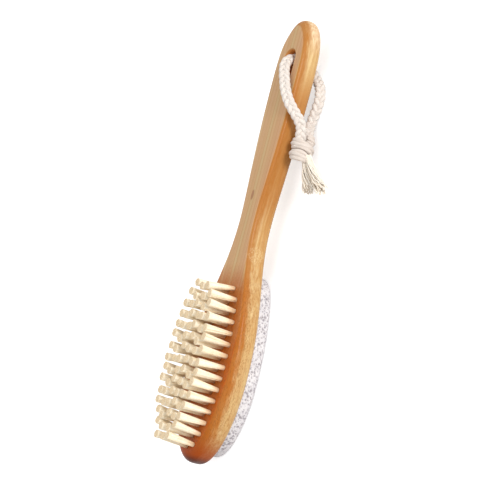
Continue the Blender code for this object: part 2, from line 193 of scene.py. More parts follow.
def mix_colors(tree, share, a, b):
    """From one colour to another as the share rises. Each is an output, or red, green, blue."""
    a, b = (srgb(*color) if isinstance(color, tuple) else color for color in (a, b))
    return node(tree, "ShaderNodeMix", {0: share, 6: a, 7: b}, data_type="RGBA").outputs[2]


def bump(tree, height, distance, strength):
    """A normal from a height of 0 to 1, so many metres deep."""
    return node(tree, "ShaderNodeBump", {
        "Height": height, "Distance": distance, "Strength": strength
    }).outputs["Normal"]


def new_material(name, sockets=None):
    """A material, its tree and its shader, which has those values on its sockets."""
    made = bpy.data.materials.new(name)
    made.use_nodes = True
    shader = made.node_tree.nodes["Principled BSDF"]
    for label, value in (sockets or {}).items():
        shader.inputs[label].default_value = value
    return made, made.node_tree, shader


def finish_shader(tree, shader, color, wear, roughness, normal=None):
    """Links what varies. The roughness runs between two values as the wear goes from 0 to 1."""
    tree.links.new(color, shader.inputs["Base Color"])
    tree.links.new(between(tree, wear, 0.0, 1.0, *roughness), shader.inputs["Roughness"])
    if normal:
        tree.links.new(normal, shader.inputs["Normal"])


def make_mottle_group():
    """A value of about 0 to 1 that wanders over the surface: stains, dust and uneven colour."""
    group = bpy.data.node_groups.new("mottle", "ShaderNodeTree")
    group.interface.new_socket("Vector", in_out="INPUT", socket_type="NodeSocketVector")
    for name, value in (("Scale", 100.0), ("Detail", 3.0), ("Low", 0.35), ("High", 0.65)):
        socket = group.interface.new_socket(name, in_out="INPUT", socket_type="NodeSocketFloat")
        socket.default_value = value
    group.interface.new_socket("Value", in_out="OUTPUT", socket_type="NodeSocketFloat")
    given = group.nodes.new("NodeGroupInput").outputs
    noise = node(group, "ShaderNodeTexNoise", {
        "Vector": given["Vector"], "Scale": given["Scale"], "Detail": given["Detail"]
    })
    spread = node(group, "ShaderNodeMapRange", {
        "Value": noise.outputs["Fac"], "From Min": given["Low"], "From Max": given["High"]
    })
    result = group.nodes.new("NodeGroupOutput")
    group.links.new(spread.outputs["Result"], result.inputs["Value"])
    return group


MOTTLE = make_mottle_group()


def mottle(tree, place, scale, low=0.35, high=0.65, detail=3.0):
    """The group's value over a place, at one scale or at one for each axis."""
    if isinstance(scale, tuple):
        place = node(tree, "ShaderNodeMapping", {"Vector": place, "Scale": scale}).outputs[0]
        scale = 1.0
    return node(tree, "ShaderNodeGroup", {
        "Vector": place, "Scale": scale, "Detail": detail, "Low": low, "High": high
    }, node_tree=MOTTLE).outputs["Value"]


def make_cotton(name, tones):
    """Unbleached cotton yarn: cream, with fine fibres along each strand and a soft sheen."""
    material, tree, shader = new_material(name, COTTON_SHEEN)
    place = node(tree, "ShaderNodeTexCoord").outputs
    fibres = mottle(tree, place["UV"], *FIBRES)
    uneven = mottle(tree, place["Object"], *UNEVEN_YARN)
    threaded = mix_colors(tree, fibres, FIBRE_SHADE, mix_colors(tree, uneven, *tones))
    relief = bump(tree, fibres, *FIBRE_RELIEF)
    finish_shader(tree, shader, threaded, fibres, COTTON_ROUGHNESS, relief)
    return material


def smooth_path(points, spacing):
    """Points about every spacing along a smooth curve through those points."""
    route = [Vector(p) for p in points]
    before = [route[0] * 2 - route[1]] + route
    after = route[1:] + [route[-1] * 2 - route[-2]]
    slopes = [(b - a) / 2 for a, b in zip(before, after)]
    fine = []
    for i in range(len(route) - 1):
        fine += interpolate_bezier(
            route[i],
            route[i] + slopes[i] / 3,
            route[i + 1] - slopes[i + 1] / 3,
            route[i + 1],
            PATH_STEPS,
        )[:-1]
    fine.append(route[-1])
    length = sum((b - a).length for a, b in zip(fine, fine[1:]))
    steps = max(1, round(length / spacing))
    path, travelled, wanted = [fine[0]], 0.0, 1
    for a, b in zip(fine, fine[1:]):
        run = (b - a).length
        while wanted < steps and travelled + run >= wanted * length / steps:
            path.append(a.lerp(b, (wanted * length / steps - travelled) / run))
            wanted += 1
        travelled += run
    return path + [fine[-1]]


def carried_frames(path, side):
    """At each point of a path, two directions across it that turn with it."""
    last = len(path) - 1
    frames = []
    for i in range(len(path)):
        along = (path[min(i + 1, last)] - path[max(i - 1, 0)]).normalized()
        side = (side - along * side.dot(along)).normalized()
        frames.append((side, along.cross(side)))
    return frames


def eased(share):
    """A share of the way, made level at its start and end."""
    share = min(1.0, max(0.0, share))
    return share**2 * (3 - 2 * share)


def plait(path, side):
    """The lines of three strands plaited about a path, flat across side until it turns."""
    strands = [[], [], []]
    travelled = 0.0
    for i, (point, (across, over)) in enumerate(zip(path, carried_frames(path, side))):
        travelled += (point - path[max(i - 1, 0)]).length
        way = i / (len(path) - 1)
        turn = PLAIT_TURN * eased((way - PLAIT_TURN_FROM) / (PLAIT_TURN_TO - PLAIT_TURN_FROM))
        flat = across * math.cos(turn) + over * math.sin(turn)
        through = over * math.cos(turn) - across * math.sin(turn)
        for k, strand in enumerate(strands):
            angle = 2 * math.pi * (travelled / PLAIT_PITCH + k / 3)
            strand.append(
                point
                + flat * PLAIT_REACH * math.sin(angle)
                + through * PLAIT_DEPTH * math.sin(2 * angle)
            )
    return strands


def add_strand(bm, uv, path, radius, taper):
    """A strand of twisted plies along a path. Its ends narrow over the taper's length."""
    sides = PLY_SIDES * STRAND_PLIES
    length = sum((b - a).length for a, b in zip(path, path[1:]))
    rings, travelled, reached = [], 0.0, []
    for i, (point, (across, over)) in enumerate(zip(path, carried_frames(path, FIRST_SIDE))):
        travelled += (point - path[max(i - 1, 0)]).length
        in_taper = min(travelled, length - travelled, taper) / taper
        full = TAPERED_SHARE + (1 - TAPERED_SHARE) * math.sqrt(in_taper)
        ring = []
        for j in range(sides):
            angle = 2 * math.pi * j / sides
            lobe = abs(math.cos(STRAND_PLIES * (angle + PLY_TWIST * travelled) / 2))
            out = radius * full * (1 - PLY_RELIEF + PLY_RELIEF * lobe)
            ring.append(bm.verts.new(
                point + across * out * math.cos(angle) + over * out * math.sin(angle)
            ))
        rings.append(ring)
        reached.append(travelled * UV_PER_METRE)
    for i in range(len(rings) - 1):
        for j in range(sides):
            k = (j + 1) % sides
            face = bm.faces.new((rings[i][j], rings[i][k], rings[i + 1][k], rings[i + 1][j]))
            corners = ((i, j), (i, j + 1), (i + 1, j + 1), (i + 1, j))
            for loop, (row, column) in zip(face.loops, corners):
                loop[uv].uv = (reached[row], column / sides)
    bm.faces.new(list(reversed(rings[0])))
    bm.faces.new(rings[-1])


def finished(bm, name):
    """An object of that mesh, with its faces turned outwards."""
    bmesh.ops.recalc_face_normals(bm, faces=bm.faces)
    mesh = bpy.data.meshes.new(name)
    bm.to_mesh(mesh)
    bm.free()
    return placed(name, mesh)


def strands_object(name, paths, radius, taper, material):
    """One object of several strands, shaded smooth."""
    bm = bmesh.new()
    uv = bm.loops.layers.uv.new("UVMap")
    for path in paths:
        add_strand(bm, uv, path, radius, taper)
    obj = finished(bm, name)
    obj.data.shade_smooth()
    obj.data.materials.append(material)
    return obj


COTTON = make_cotton("unbleached_cotton", CORD_TONES)
cord_path = smooth_path(CORD_ROUTE, RING_SPACING)
across_view = (cord_path[1] - cord_path[0]).cross(towards_camera)
cord_strands = plait(cord_path, across_view)
cord_loop = strands_object("plaited_loop", cord_strands, STRAND_RADIUS, STRAND_TAPER, COTTON)
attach(cord_loop, "hanging_loop")
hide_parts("cord_loop")


# Knot
# An overhand knot tied in both ends of the cord together. It is drawn tight, so the three
# strands of each wrap lie flat beside one another. Its darker cotton is painted shade.
KNOT_CENTRE = Vector((0.0527, -0.0195, 0.0096))
KNOT_HEADING = math.radians(188)
# Darker than the cord's tones: painted shade among the knot's wraps
KNOT_TONES = ((226, 214, 203), (214, 200, 188))
WRAP_RADIUS = 0.0050
WRAP_TURNS = 2.1
WRAP_RISE = 0.0062
WRAP_START = math.radians(190)
WRAP_TUCK = 0.2
WRAP_TUCKED_SHARE = 0.4
WRAP_GATHERED_SHARE = 0.55
WRAP_TILT = math.radians(2)
WRAP_TILT_HEADING = math.radians(240)
WRAP_STEPS_PER_TURN = 24
WRAP_STRAND_SPACING = 0.00165
WRAP_STRAND_RADIUS = 0.00130
WRAP_STRAND_TAPER = 0.003
WRAP_CROWN = 0.0006
WRAP_SWAY = 0.0004
WRAP_SWAYS_PER_TURN = 1.7

knot_axis = Vector((math.cos(KNOT_HEADING), math.sin(KNOT_HEADING), 0))
knot_side = Vector((0, 0, 1))
knot_front = knot_axis.cross(knot_side)


def wrap_point(turns, beside):
    """A point so many turns along a strand of the wraps, whose ends tuck into the knot."""
    angle = WRAP_START + 2 * math.pi * turns
    tucked = max(0.0, min(1.0, turns / WRAP_TUCK, (WRAP_TURNS - turns) / WRAP_TUCK))
    out = WRAP_TUCKED_SHARE + (1 - WRAP_TUCKED_SHARE) * math.sin(tucked * math.pi / 2)
    radius = WRAP_RADIUS * out + WRAP_CROWN * (1 - abs(beside))
    spread = WRAP_GATHERED_SHARE + (1 - WRAP_GATHERED_SHARE) * out
    apart = beside * WRAP_STRAND_SPACING * spread
    sway = WRAP_SWAY * math.sin(WRAP_SWAYS_PER_TURN * angle + 2 * beside)
    tilt = WRAP_RADIUS * math.tan(WRAP_TILT) * math.cos(angle - WRAP_TILT_HEADING)
    return (
        KNOT_CENTRE
        + knot_axis * (WRAP_RISE * (turns - WRAP_TURNS / 2) + apart + sway + tilt)
        + knot_front * radius * math.cos(angle)
        + knot_side * radius * math.sin(angle)
    )


wrap_steps = round(WRAP_TURNS * WRAP_STEPS_PER_TURN)
wrap_strands = [
    smooth_path(
        [wrap_point(WRAP_TURNS * i / wrap_steps, beside) for i in range(wrap_steps + 1)],
        RING_SPACING,
    )
    for beside in (-1, 0, 1)
]
KNOT_COTTON_WITH_SHADE = make_cotton("knot_cotton_painted_shade", KNOT_TONES)
knot = strands_object(
    "overhand_knot", wrap_strands, WRAP_STRAND_RADIUS, WRAP_STRAND_TAPER, KNOT_COTTON_WITH_SHADE
)
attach(knot, "hanging_loop")
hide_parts("cord_knot")


# Frayed ends
# Beyond the knot the plait has come undone. Each end is a bundle of loose yarns that spreads
# and is cut off unevenly.
TAIL_STEP = 0.001
TAIL_OPENING = 1.3
TAIL_WANDER_SCALE = 260.0
TAIL_WANDER_APART = 3.0
INNERMOST_YARN = 0.02
TAIL_SIZES = {
    "Yarns": 48,
    "Yarn radius": 0.00034,
    "Start radius": 0.0016,
    "End radius": 0.0036,
    "Twist": 2.0,
    "Uneven": 0.14,
    "Waver": 0.0022,
}
TAIL_ROUTES = {
    "frayed_end_1": [
        (0.0493, -0.0228, 0.0085),
        (0.0451, -0.0234, 0.0074),
        (0.0408, -0.0243, 0.0064),
        (0.0359, -0.0260, 0.0054),
        (0.0299, -0.0294, 0.0046),
    ],
    "frayed_end_2": [
        (0.0493, -0.0255, 0.0085),
        (0.0450, -0.0280, 0.0074),
        (0.0407, -0.0312, 0.0064),
        (0.0358, -0.0357, 0.0054),
        (0.0304, -0.0418, 0.0046),
    ],
}
TAIL_NODES = {"frayed_end_1": "cord_tail_1", "frayed_end_2": "cord_tail_2"}
YARN_TONES = ((250, 243, 232), (240, 226, 206))
YARN_ROUGHNESS = (0.84, 0.96)
YARN_SIDES = 6


def geometry_tree(name, sizes):
    """A geometry node tree with one geometry in, those named sizes, and one geometry out."""
    tree = bpy.data.node_groups.new(name, "GeometryNodeTree")
    tree.interface.new_socket("Geometry", in_out="INPUT", socket_type="NodeSocketGeometry")
    for label, value in sizes.items():
        kind = "NodeSocketInt" if isinstance(value, int) else "NodeSocketFloat"
        tree.interface.new_socket(label, in_out="INPUT", socket_type=kind)
    tree.interface.new_socket("Geometry", in_out="OUTPUT", socket_type="NodeSocketGeometry")
    return tree, tree.nodes.new("NodeGroupInput").outputs


def finish_tree(tree, geometry, material=None):
    """Ends the tree in real geometry, with its material if it has one."""
    last = node(tree, "GeometryNodeRealizeInstances", {"Geometry": geometry})
    if material:
        last = node(tree, "GeometryNodeSetMaterial", {
            "Geometry": last.outputs[0], "Material": material
        })
    tree.links.new(last.outputs[0], tree.nodes.new("NodeGroupOutput").inputs["Geometry"])
    return tree


def store(tree, geometry, name, value, data_type="FLOAT", domain="POINT"):
    return node(tree, "GeometryNodeStoreNamedAttribute", {
        "Geometry": geometry, "Name": name, "Value": value
    }, data_type=data_type, domain=domain).outputs[0]


def stored(tree, name, data_type="FLOAT"):
    return node(
        tree, "GeometryNodeInputNamedAttribute", {"Name": name}, data_type=data_type
    ).outputs[0]


def random_value(tree, low, high, seed, number=None):
    """A random number for each element, or for each number."""
    inputs = {2: low, 3: high, 8: seed}
    if number is not None:
        inputs[7] = number
    return node(tree, "FunctionNodeRandomValue", inputs, data_type="FLOAT").outputs[1]


def turned_by(tree, radius, angle):
    """How far a point at that radius and angle lies along each of two directions."""
    return [
        times(tree, radius, math_node(tree, part, angle)) for part in ("COSINE", "SINE")
    ]


def vector_node(tree, operation, a, b=None, scale=None):
    inputs = {key: value for key, value in ((0, a), (1, b), (3, scale)) if value is not None}
    return node(tree, "ShaderNodeVectorMath", inputs, operation=operation).outputs[0]


def scaled(tree, vector, size):
    return vector_node(tree, "SCALE", vector, scale=size)


def from_to(tree, share, start, end):
    """From start to end as the share rises from 0 to 1."""
    return node(tree, "ShaderNodeMapRange", {
        "Value": share, "To Min": start, "To Max": end
    }).outputs[0]


def moved(tree, geometry, offset):
    return node(tree, "GeometryNodeSetPosition", {
        "Geometry": geometry, "Offset": offset
    }).outputs[0]


def wandering(tree, place, scale):
    """A vector that wanders from place to place, about half a unit each way."""
    noise = node(tree, "ShaderNodeTexNoise", {"Vector": place, "Scale": scale})
    return vector_node(tree, "SUBTRACT", noise.outputs["Color"], (0.5, 0.5, 0.5))


def mesh_as_shown(obj):
    """A plain mesh of the object as its modifiers leave it."""
    bpy.context.view_layer.update()
    shown = obj.evaluated_get(bpy.context.evaluated_depsgraph_get())
    return bpy.data.meshes.new_from_object(shown)


def grown(obj, tree, sizes):
    """An object of the plain mesh that the tree makes from this one, which it replaces."""
    modifier = obj.modifiers.new(tree.name, "NODES")
    modifier.node_group = tree
    for item in tree.interface.items_tree:
        if item.in_out == "INPUT" and item.name in sizes:
            modifier[item.identifier] = sizes[item.name]
    mesh = mesh_as_shown(obj)
    name = obj.name
    bpy.data.objects.remove(obj)
    return placed(name, mesh)


def make_fray_tree(sizes, material):
    """Yarns that follow a curve, twisted at its start and spread at its end."""
    tree, given = geometry_tree("frayed_yarns", sizes)
    copies = node(tree, "GeometryNodeDuplicateElements", {
        "Geometry": given["Geometry"], "Amount": given["Yarns"]
    }, domain="SPLINE").outputs
    numbered = store(
        tree, copies["Geometry"], "yarn", copies["Duplicate Index"], "INT", "CURVE"
    )
    yarn = stored(tree, "yarn", "INT")
    along = node(tree, "GeometryNodeSplineParameter").outputs["Factor"]
    normal = node(tree, "GeometryNodeInputNormal").outputs[0]
    tangent = node(tree, "GeometryNodeInputTangent").outputs[0]
    beside = vector_node(tree, "CROSS_PRODUCT", normal, tangent)
    opening = math_node(tree, "POWER", along, TAIL_OPENING)
    radius = from_to(tree, opening, given["Start radius"], given["End radius"])
    share = math_node(tree, "SQRT", random_value(tree, INNERMOST_YARN, 1.0, 3, yarn))
    twist = times(tree, along, given["Twist"])
    angle = math_node(tree, "ADD", random_value(tree, 0.0, 2 * math.pi, 5, yarn), twist)
    out, aside = turned_by(tree, times(tree, radius, share), angle)
    offset = vector_node(tree, "ADD", scaled(tree, normal, out), scaled(tree, beside, aside))
    place = node(tree, "GeometryNodeInputPosition").outputs[0]
    apart = vector_node(tree, "ADD", place, scaled(tree, offset, TAIL_WANDER_APART))
    wave = scaled(
        tree, wandering(tree, apart, TAIL_WANDER_SCALE), times(tree, opening, given["Waver"])
    )
    spread = moved(tree, numbered, vector_node(tree, "ADD", offset, wave))
    shortest = math_node(tree, "SUBTRACT", 1.0, given["Uneven"])
    keep = from_to(tree, random_value(tree, 0.0, 1.0, 9, yarn), shortest, 1.0)
    trimmed = node(tree, "GeometryNodeTrimCurve", {"Curve": spread, "End": keep}).outputs[0]
    ring = node(tree, "GeometryNodeCurvePrimitiveCircle", {
        "Resolution": YARN_SIDES, "Radius": given["Yarn radius"]
    }).outputs[0]
    yarns = node(tree, "GeometryNodeCurveToMesh", {
        "Curve": trimmed, "Profile Curve": ring, "Fill Caps": True
    }).outputs[0]
    smooth = node(tree, "GeometryNodeSetShadeSmooth", {"Geometry": yarns}).outputs[0]
    return finish_tree(tree, smooth, material)


def attribute(tree, name):
    return node(tree, "ShaderNodeAttribute", attribute_name=name).outputs["Fac"]


def make_yarn():
    """The same cotton, loose: each yarn is a little lighter or darker than the next."""
    material, tree, shader = new_material("loose_cotton_yarn", COTTON_SHEEN)
    chance = node(
        tree, "ShaderNodeTexWhiteNoise", {"W": attribute(tree, "yarn")}, noise_dimensions="1D"
    ).outputs[0]
    cream = mix_colors(tree, chance, *YARN_TONES)
    finish_shader(tree, shader, cream, chance, YARN_ROUGHNESS)
    return material


fray_tree = make_fray_tree(TAIL_SIZES, make_yarn())
for name, route in TAIL_ROUTES.items():
    curve = bpy.data.curves.new(name, "CURVE")
    curve.dimensions = "3D"
    path = smooth_path(route, TAIL_STEP)
    spline = curve.splines.new("POLY")
    spline.points.add(len(path) - 1)
    for point, at in zip(spline.points, path):
        point.co = (*at, 1)
    tail = grown(placed(name, curve), fray_tree, TAIL_SIZES)
    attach(tail, "hanging_loop")
    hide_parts(TAIL_NODES[name])


# Bamboo body
# One piece, sawn and sanded from a board of bamboo strips glued side by side, and lacquered.
# The slot is milled through it, the stone's pocket is routed, and the tufts' holes are drilled.
BODY_LOW, BODY_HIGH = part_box("wooden_body")
STONE_LOW, STONE_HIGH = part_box("pumice_stone")
TIP_X, END_X = BODY_LOW.x, BODY_HIGH.x
BACK_Z, FRONT_Z = BODY_LOW.z, BODY_HIGH.z
HEAD_WIDTH = BODY_HIGH.y - BODY_LOW.y
NECK_WIDTH = 0.0172
GRIP_WIDTH = 0.0262
HEAD_WIDEST_X = TIP_X + 0.048
NECK_X = TIP_X + 0.137
GRIP_WIDEST_X = TIP_X + 0.220
FRONT_EDGE_RADIUS = 0.002
FRONT_TIP_RADIUS = 0.006
END_EDGE_RADIUS = 0.006
BACK_EDGE_RADIUS = 0.004
TIP_EASING_LENGTH = 0.096
END_EASING_LENGTH = 0.020
SLOT_LENGTH = 0.020
SLOT_WIDTH = 0.010
SLOT_CENTRE_X = END_X - 0.019 - SLOT_LENGTH / 2
SLOT_EDGE_RADIUS = 0.0015
SLOT_END_STEPS = 24
POCKET_DEPTH = 0.004
POCKET_GAP = 0.0003
STONE_MARGIN = 0.003
STONE_SHOULDER_SHARE = 0.20
SLOPE_STEP = 0.003
OUTLINE_STEPS = 36
EDGE_STEPS = 9
RIM_WIDTH = 0.0006
CUTTER_OVERSHOOT = 0.002
SHARP_ANGLE = math.radians(32)
QUARTER_TURN = math.pi / 2

# How far an outline's curve reaches from each knot: at an end as a share of the width there,
# and elsewhere as shares of the way to the knots before and after
TIP_REACH = 0.27
HEAD_REACH = (0.54, 0.50)
NECK_REACH = (0.37, 0.18)
GRIP_REACH = (0.53, 0.70)
END_REACH = 0.31
STONE_TIP_REACH = 0.54
STONE_WIDEST_REACH = (0.58, 0.36)
STONE_SHOULDER_REACH = (0.30, 0.45)
STONE_END_REACH = 0.62


def reaches(shares, before, x, after):
    return shares[0] * (x - before), shares[1] * (after - x)


def side_points(knots):
    """One side of an outline through knots of x, half width, angle, and reaches either way."""
    handles = []
    for x, half, angle, before, after in knots:
        along = Vector((math.cos(angle), math.sin(angle), 0))
        knot_point = Vector((x, half, 0))
        handles.append((knot_point - along * before, knot_point, knot_point + along * after))
    points = []
    for (_, start, leaving), (arriving, end, _) in zip(handles, handles[1:]):
        points += interpolate_bezier(start, leaving, arriving, end, OUTLINE_STEPS + 1)[:-1]
    return points + [handles[-1][1]]


def closed_outline(side):
    return side + [Vector((p.x, -p.y, 0)) for p in reversed(side[1:-1])]


def stadium(centre_x, length, width):
    """Points round a slot with half-round ends, along X."""
    reach = (length - width) / 2
    points = []
    for end_x, quarters in ((centre_x + reach, 1), (centre_x - reach, 3)):
        for step in range(SLOT_END_STEPS + 1):
            angle = quarters * QUARTER_TURN - math.pi * step / SLOT_END_STEPS
            points.append(Vector((
                end_x + width / 2 * math.cos(angle), width / 2 * math.sin(angle), 0
            )))
    return points


def slab(name, outline, levels):
    """A closed mesh object through rings of the outline, which runs clockwise from above.

    Each level gives the inset and the height of a point of the outline, back to front.
    """
    bm = bmesh.new()
    count = len(outline)
    inwards = []
    for i in range(count):
        along = outline[(i + 1) % count] - outline[i - 1]
        inwards.append(Vector((along.y, -along.x, 0)).normalized())
    rings = []
    for level in levels:
        ring = []
        for point, inward in zip(outline, inwards):
            distance, z = level(point)
            ring.append(bm.verts.new(point + inward * distance + Vector((0, 0, z))))
        rings.append(ring)
    for lower, upper in zip(rings, rings[1:]):
        for i in range(count):
            j = (i + 1) % count
            bm.faces.new((lower[i], lower[j], upper[j], upper[i]))
    bm.faces.new(rings[0])
    bm.faces.new(rings[-1])
    return finished(bm, name)


def plain_level(distance, z):
    return lambda point: (distance, z)


def quarter_round():
    """The steps of a quarter circle, each as the sine and one minus the cosine."""
    angles = [QUARTER_TURN * step / EDGE_STEPS for step in range(EDGE_STEPS + 1)]
    return [(math.sin(angle), 1 - math.cos(angle)) for angle in angles]


def rounded_levels(radius_at, z, towards):
    """Levels of a rounded edge, from just inside the face at z to the wall.

    Towards is 1 where the piece lies above that face and -1 where it lies below.
    """
    levels = [lambda point: (radius_at(point) + RIM_WIDTH, z)]
    for out, down in quarter_round():
        levels.append(lambda point, out=out, down=down: (
            radius_at(point) * (1 - out), z + towards * radius_at(point) * down
        ))
    return levels


def near_end(point):
    return 1 - eased((END_X - point.x) / END_EASING_LENGTH)


def front_edge_radius(point):
    """The front edge is rounder at the head's tip and at the handle's end."""
    near_tip = 1 - eased((point.x - TIP_X) / TIP_EASING_LENGTH)
    return (
        FRONT_EDGE_RADIUS
        + near_tip * (FRONT_TIP_RADIUS - FRONT_EDGE_RADIUS)
        + near_end(point) * (END_EDGE_RADIUS - FRONT_EDGE_RADIUS)
    )


def back_edge_radius(point):
    return BACK_EDGE_RADIUS + near_end(point) * (END_EDGE_RADIUS - BACK_EDGE_RADIUS)


body_side = side_points([
    (TIP_X, 0, QUARTER_TURN, 0, TIP_REACH * HEAD_WIDTH),
    (HEAD_WIDEST_X, HEAD_WIDTH / 2, 0, *reaches(HEAD_REACH, TIP_X, HEAD_WIDEST_X, NECK_X)),
    (NECK_X, NECK_WIDTH / 2, 0, *reaches(NECK_REACH, HEAD_WIDEST_X, NECK_X, GRIP_WIDEST_X)),
    (GRIP_WIDEST_X, GRIP_WIDTH / 2, 0, *reaches(GRIP_REACH, NECK_X, GRIP_WIDEST_X, END_X)),
    (END_X, 0, -QUARTER_TURN, END_REACH * GRIP_WIDTH, 0),
])


def body_half_width(x):
    for a, b in zip(body_side, body_side[1:]):
        if a.x <= x < b.x:
            return a.y + (b.y - a.y) * (x - a.x) / (b.x - a.x)
    return 0.0


def stone_outline(grow):
    """The stone's outline, which follows the head, made larger by grow."""
    low_x, high_x = STONE_LOW.x, STONE_HIGH.x
    widest = HEAD_WIDTH / 2 - STONE_MARGIN + grow
    shoulder_x = high_x - STONE_SHOULDER_SHARE * (high_x - low_x)
    shoulder = body_half_width(shoulder_x) - STONE_MARGIN + grow
    fall = body_half_width(shoulder_x + SLOPE_STEP) - body_half_width(shoulder_x - SLOPE_STEP)
    slope = math.atan2(fall, 2 * SLOPE_STEP)
    at_widest = reaches(STONE_WIDEST_REACH, low_x, HEAD_WIDEST_X, shoulder_x)
    at_shoulder = reaches(STONE_SHOULDER_REACH, HEAD_WIDEST_X, shoulder_x, high_x)
    return closed_outline(side_points([
        (low_x - grow, 0, QUARTER_TURN, 0, STONE_TIP_REACH * widest),
        (HEAD_WIDEST_X, widest, 0, *at_widest),
        (shoulder_x, shoulder, slope, *at_shoulder),
        (high_x + grow, 0, -QUARTER_TURN, STONE_END_REACH * shoulder, 0),
    ]))


# Tufts stand in rows across the head, and the ends of the rows follow its outline
ROW_COUNT = 15
ROW_PITCH = 0.00625
ROW_STAGGER = 0.0008
FIRST_ROW_X = TIP_X + 0.0088
FIELD_MARGIN = 0.0078
FIELD_END_ROUND = 0.012
TUFT_SPACING = 0.0054
FEWEST_TUFTS_IN_ROW = 2
MOST_TUFTS_IN_ROW = 6
DRILL_SIZES = {"Hole radius": 0.00132, "Bit length": 0.010}
DRILL_SIDES = 20


def tuft_roots():
    roots = []
    field_end_x = FIRST_ROW_X + ROW_PITCH * (ROW_COUNT - 0.5)
    for row in range(ROW_COUNT):
        x = FIRST_ROW_X + ROW_PITCH * row
        into_end = max(0.0, x - (field_end_x - FIELD_END_ROUND)) / FIELD_END_ROUND
        half = (body_half_width(x) - FIELD_MARGIN) * math.sqrt(1 - into_end**2)
        fitting = int(2 * half / TUFT_SPACING) + 1
        count = min(MOST_TUFTS_IN_ROW, max(FEWEST_TUFTS_IN_ROW, fitting))
        for i in range(count):
            shift = -ROW_STAGGER if min(i, count - 1 - i) % 2 else ROW_STAGGER
            roots.append(Vector((x + shift, half * (2 * i / (count - 1) - 1), FRONT_Z)))
    return roots


def points_object(name, points):
    mesh = bpy.data.meshes.new(name)
    mesh.from_pydata([tuple(p) for p in points], [], [])
    return placed(name, mesh)


def on_points(tree, points, instance, **inputs):
    """That instance on every point."""
    return node(tree, "GeometryNodeInstanceOnPoints", {
        "Points": points, "Instance": instance, **inputs
    }).outputs[0]


def make_drill_tree(sizes):
    """A drill bit on every point."""
    tree, given = geometry_tree("drill_bits", sizes)
    bit = node(tree, "GeometryNodeMeshCylinder", {
        "Vertices": DRILL_SIDES, "Radius": given["Hole radius"], "Depth": given["Bit length"]
    }).outputs["Mesh"]
    return finish_tree(tree, on_points(tree, given["Geometry"], bit))


TUFT_ROOTS = tuft_roots()
body = slab("bamboo_body", closed_outline(body_side), (
    rounded_levels(back_edge_radius, BACK_Z, 1)
    + list(reversed(rounded_levels(front_edge_radius, FRONT_Z, -1)))
))
flare = [(SLOT_EDGE_RADIUS * (out - 1), SLOT_EDGE_RADIUS * down) for out, down in quarter_round()]
slot_cutter = slab(
    "slot_cutter",
    stadium(SLOT_CENTRE_X, SLOT_LENGTH, SLOT_WIDTH),
    [plain_level(-SLOT_EDGE_RADIUS, BACK_Z - CUTTER_OVERSHOOT)]
    + [plain_level(out, BACK_Z + z) for out, z in flare]
    + [plain_level(out, FRONT_Z - z) for out, z in reversed(flare)]
    + [plain_level(-SLOT_EDGE_RADIUS, FRONT_Z + CUTTER_OVERSHOOT)],
)
pocket_cutter = slab("pocket_cutter", stone_outline(POCKET_GAP), [
    plain_level(0, BACK_Z - CUTTER_OVERSHOOT),
    plain_level(0, BACK_Z + POCKET_DEPTH),
])
hole_cutter = grown(
    points_object("hole_cutter", TUFT_ROOTS), make_drill_tree(DRILL_SIZES), DRILL_SIZES
)
cutters = [slot_cutter, pocket_cutter, hole_cutter]
for cutter in cutters:
    boolean = body.modifiers.new(cutter.name, "BOOLEAN")
    boolean.operation = "DIFFERENCE"
    boolean.solver = "EXACT"
    boolean.object = cutter
body_mesh = mesh_as_shown(body)
body.modifiers.clear()
body.data = body_mesh
for cutter in cutters:
    bpy.data.objects.remove(cutter)
body.data.shade_smooth()
body.data.set_sharp_from_angle(angle=SHARP_ANGLE)
weighted = body.modifiers.new("flat_faces_shade_flat", "WEIGHTED_NORMAL")
weighted.keep_sharp = True

LACQUER = {"Specular IOR Level": 0.08, "Coat Weight": 0.12, "Coat Roughness": 0.2}
LACQUER_ROUGHNESS = (0.36, 0.50)
GRAIN_RELIEF = (0.00004, 0.3)
STRIP_WIDTH = 0.0030
STRIP_WAVER = 0.0010
STRIP_RANDOMNESS = 0.6
STRIP_BLEND = 0.35
EDGE_WAVER = 0.0026
FACE_TONES = [
    (0.0, (206, 162, 122)),
    (0.3, (204, 172, 124)),
    (0.5, (194, 163, 116)),
    (0.7, (216, 187, 142)),
    (1.0, (200, 154, 115)),
]
SIDE_AMBER = (200, 157, 98)
SIDE_STRAW = (214, 184, 130)
SIDE_PALE = (234, 214, 168)
PAINTED_END_HIGHLIGHT = (244, 218, 182)
# Darker amber: painted shade along the front edge, and a darker band along the handle's middle
EDGE_AMBER = (172, 106, 40)
STREAK = (172, 108, 50)
FLECK = (138, 82, 32)
TOASTED_AND_SHADE = (172, 92, 8)
SHADE_BETWEEN_TUFTS = (188, 82, 4)
TIP_BROWN = (156, 62, 3)
PAINTED_TIP_SHADOW = (66, 20, 3)
SLOT_DEPTH_SHADE = (156, 82, 36)
SLOT_RIM = (206, 130, 62)
SCAR = (158, 106, 76)
SCAR_AT = (0.0234, 0.0007, FRONT_Z)
SCAR_REACH = (0.0032, 0.0014, 0.003)
KNUCKLE_AT = (-0.0104, -0.0090, 0.0155)
KNUCKLE_REACH = (0.0060, 0.0050, 0.0056)
MARK_FADE = (1.1, 0.7)

# Patterns in the wood: the scale along x, y and z, and the noise's low and high
GRAIN = {
    "waver": ((9.0, 40.0, 40.0), 0.0, 1.0),
    "streaks": ((16.0, 900.0, 900.0), 0.36, 0.66),
    "pale streaks": ((22.0, 420.0, 520.0), 0.5, 0.74),
    "patches": ((18.0, 60.0, 110.0), 0.35, 0.7),
    "edge patches": ((150.0, 200.0, 500.0), 0.3, 0.7),
    "uneven": ((40.0, 260.0, 260.0), 0.3, 0.7),
    "flecks": ((760.0, 2000.0, 2000.0), 0.5, 0.62),
    "crackle": ((1100.0, 900.0, 1800.0), 0.45, 0.62),
}

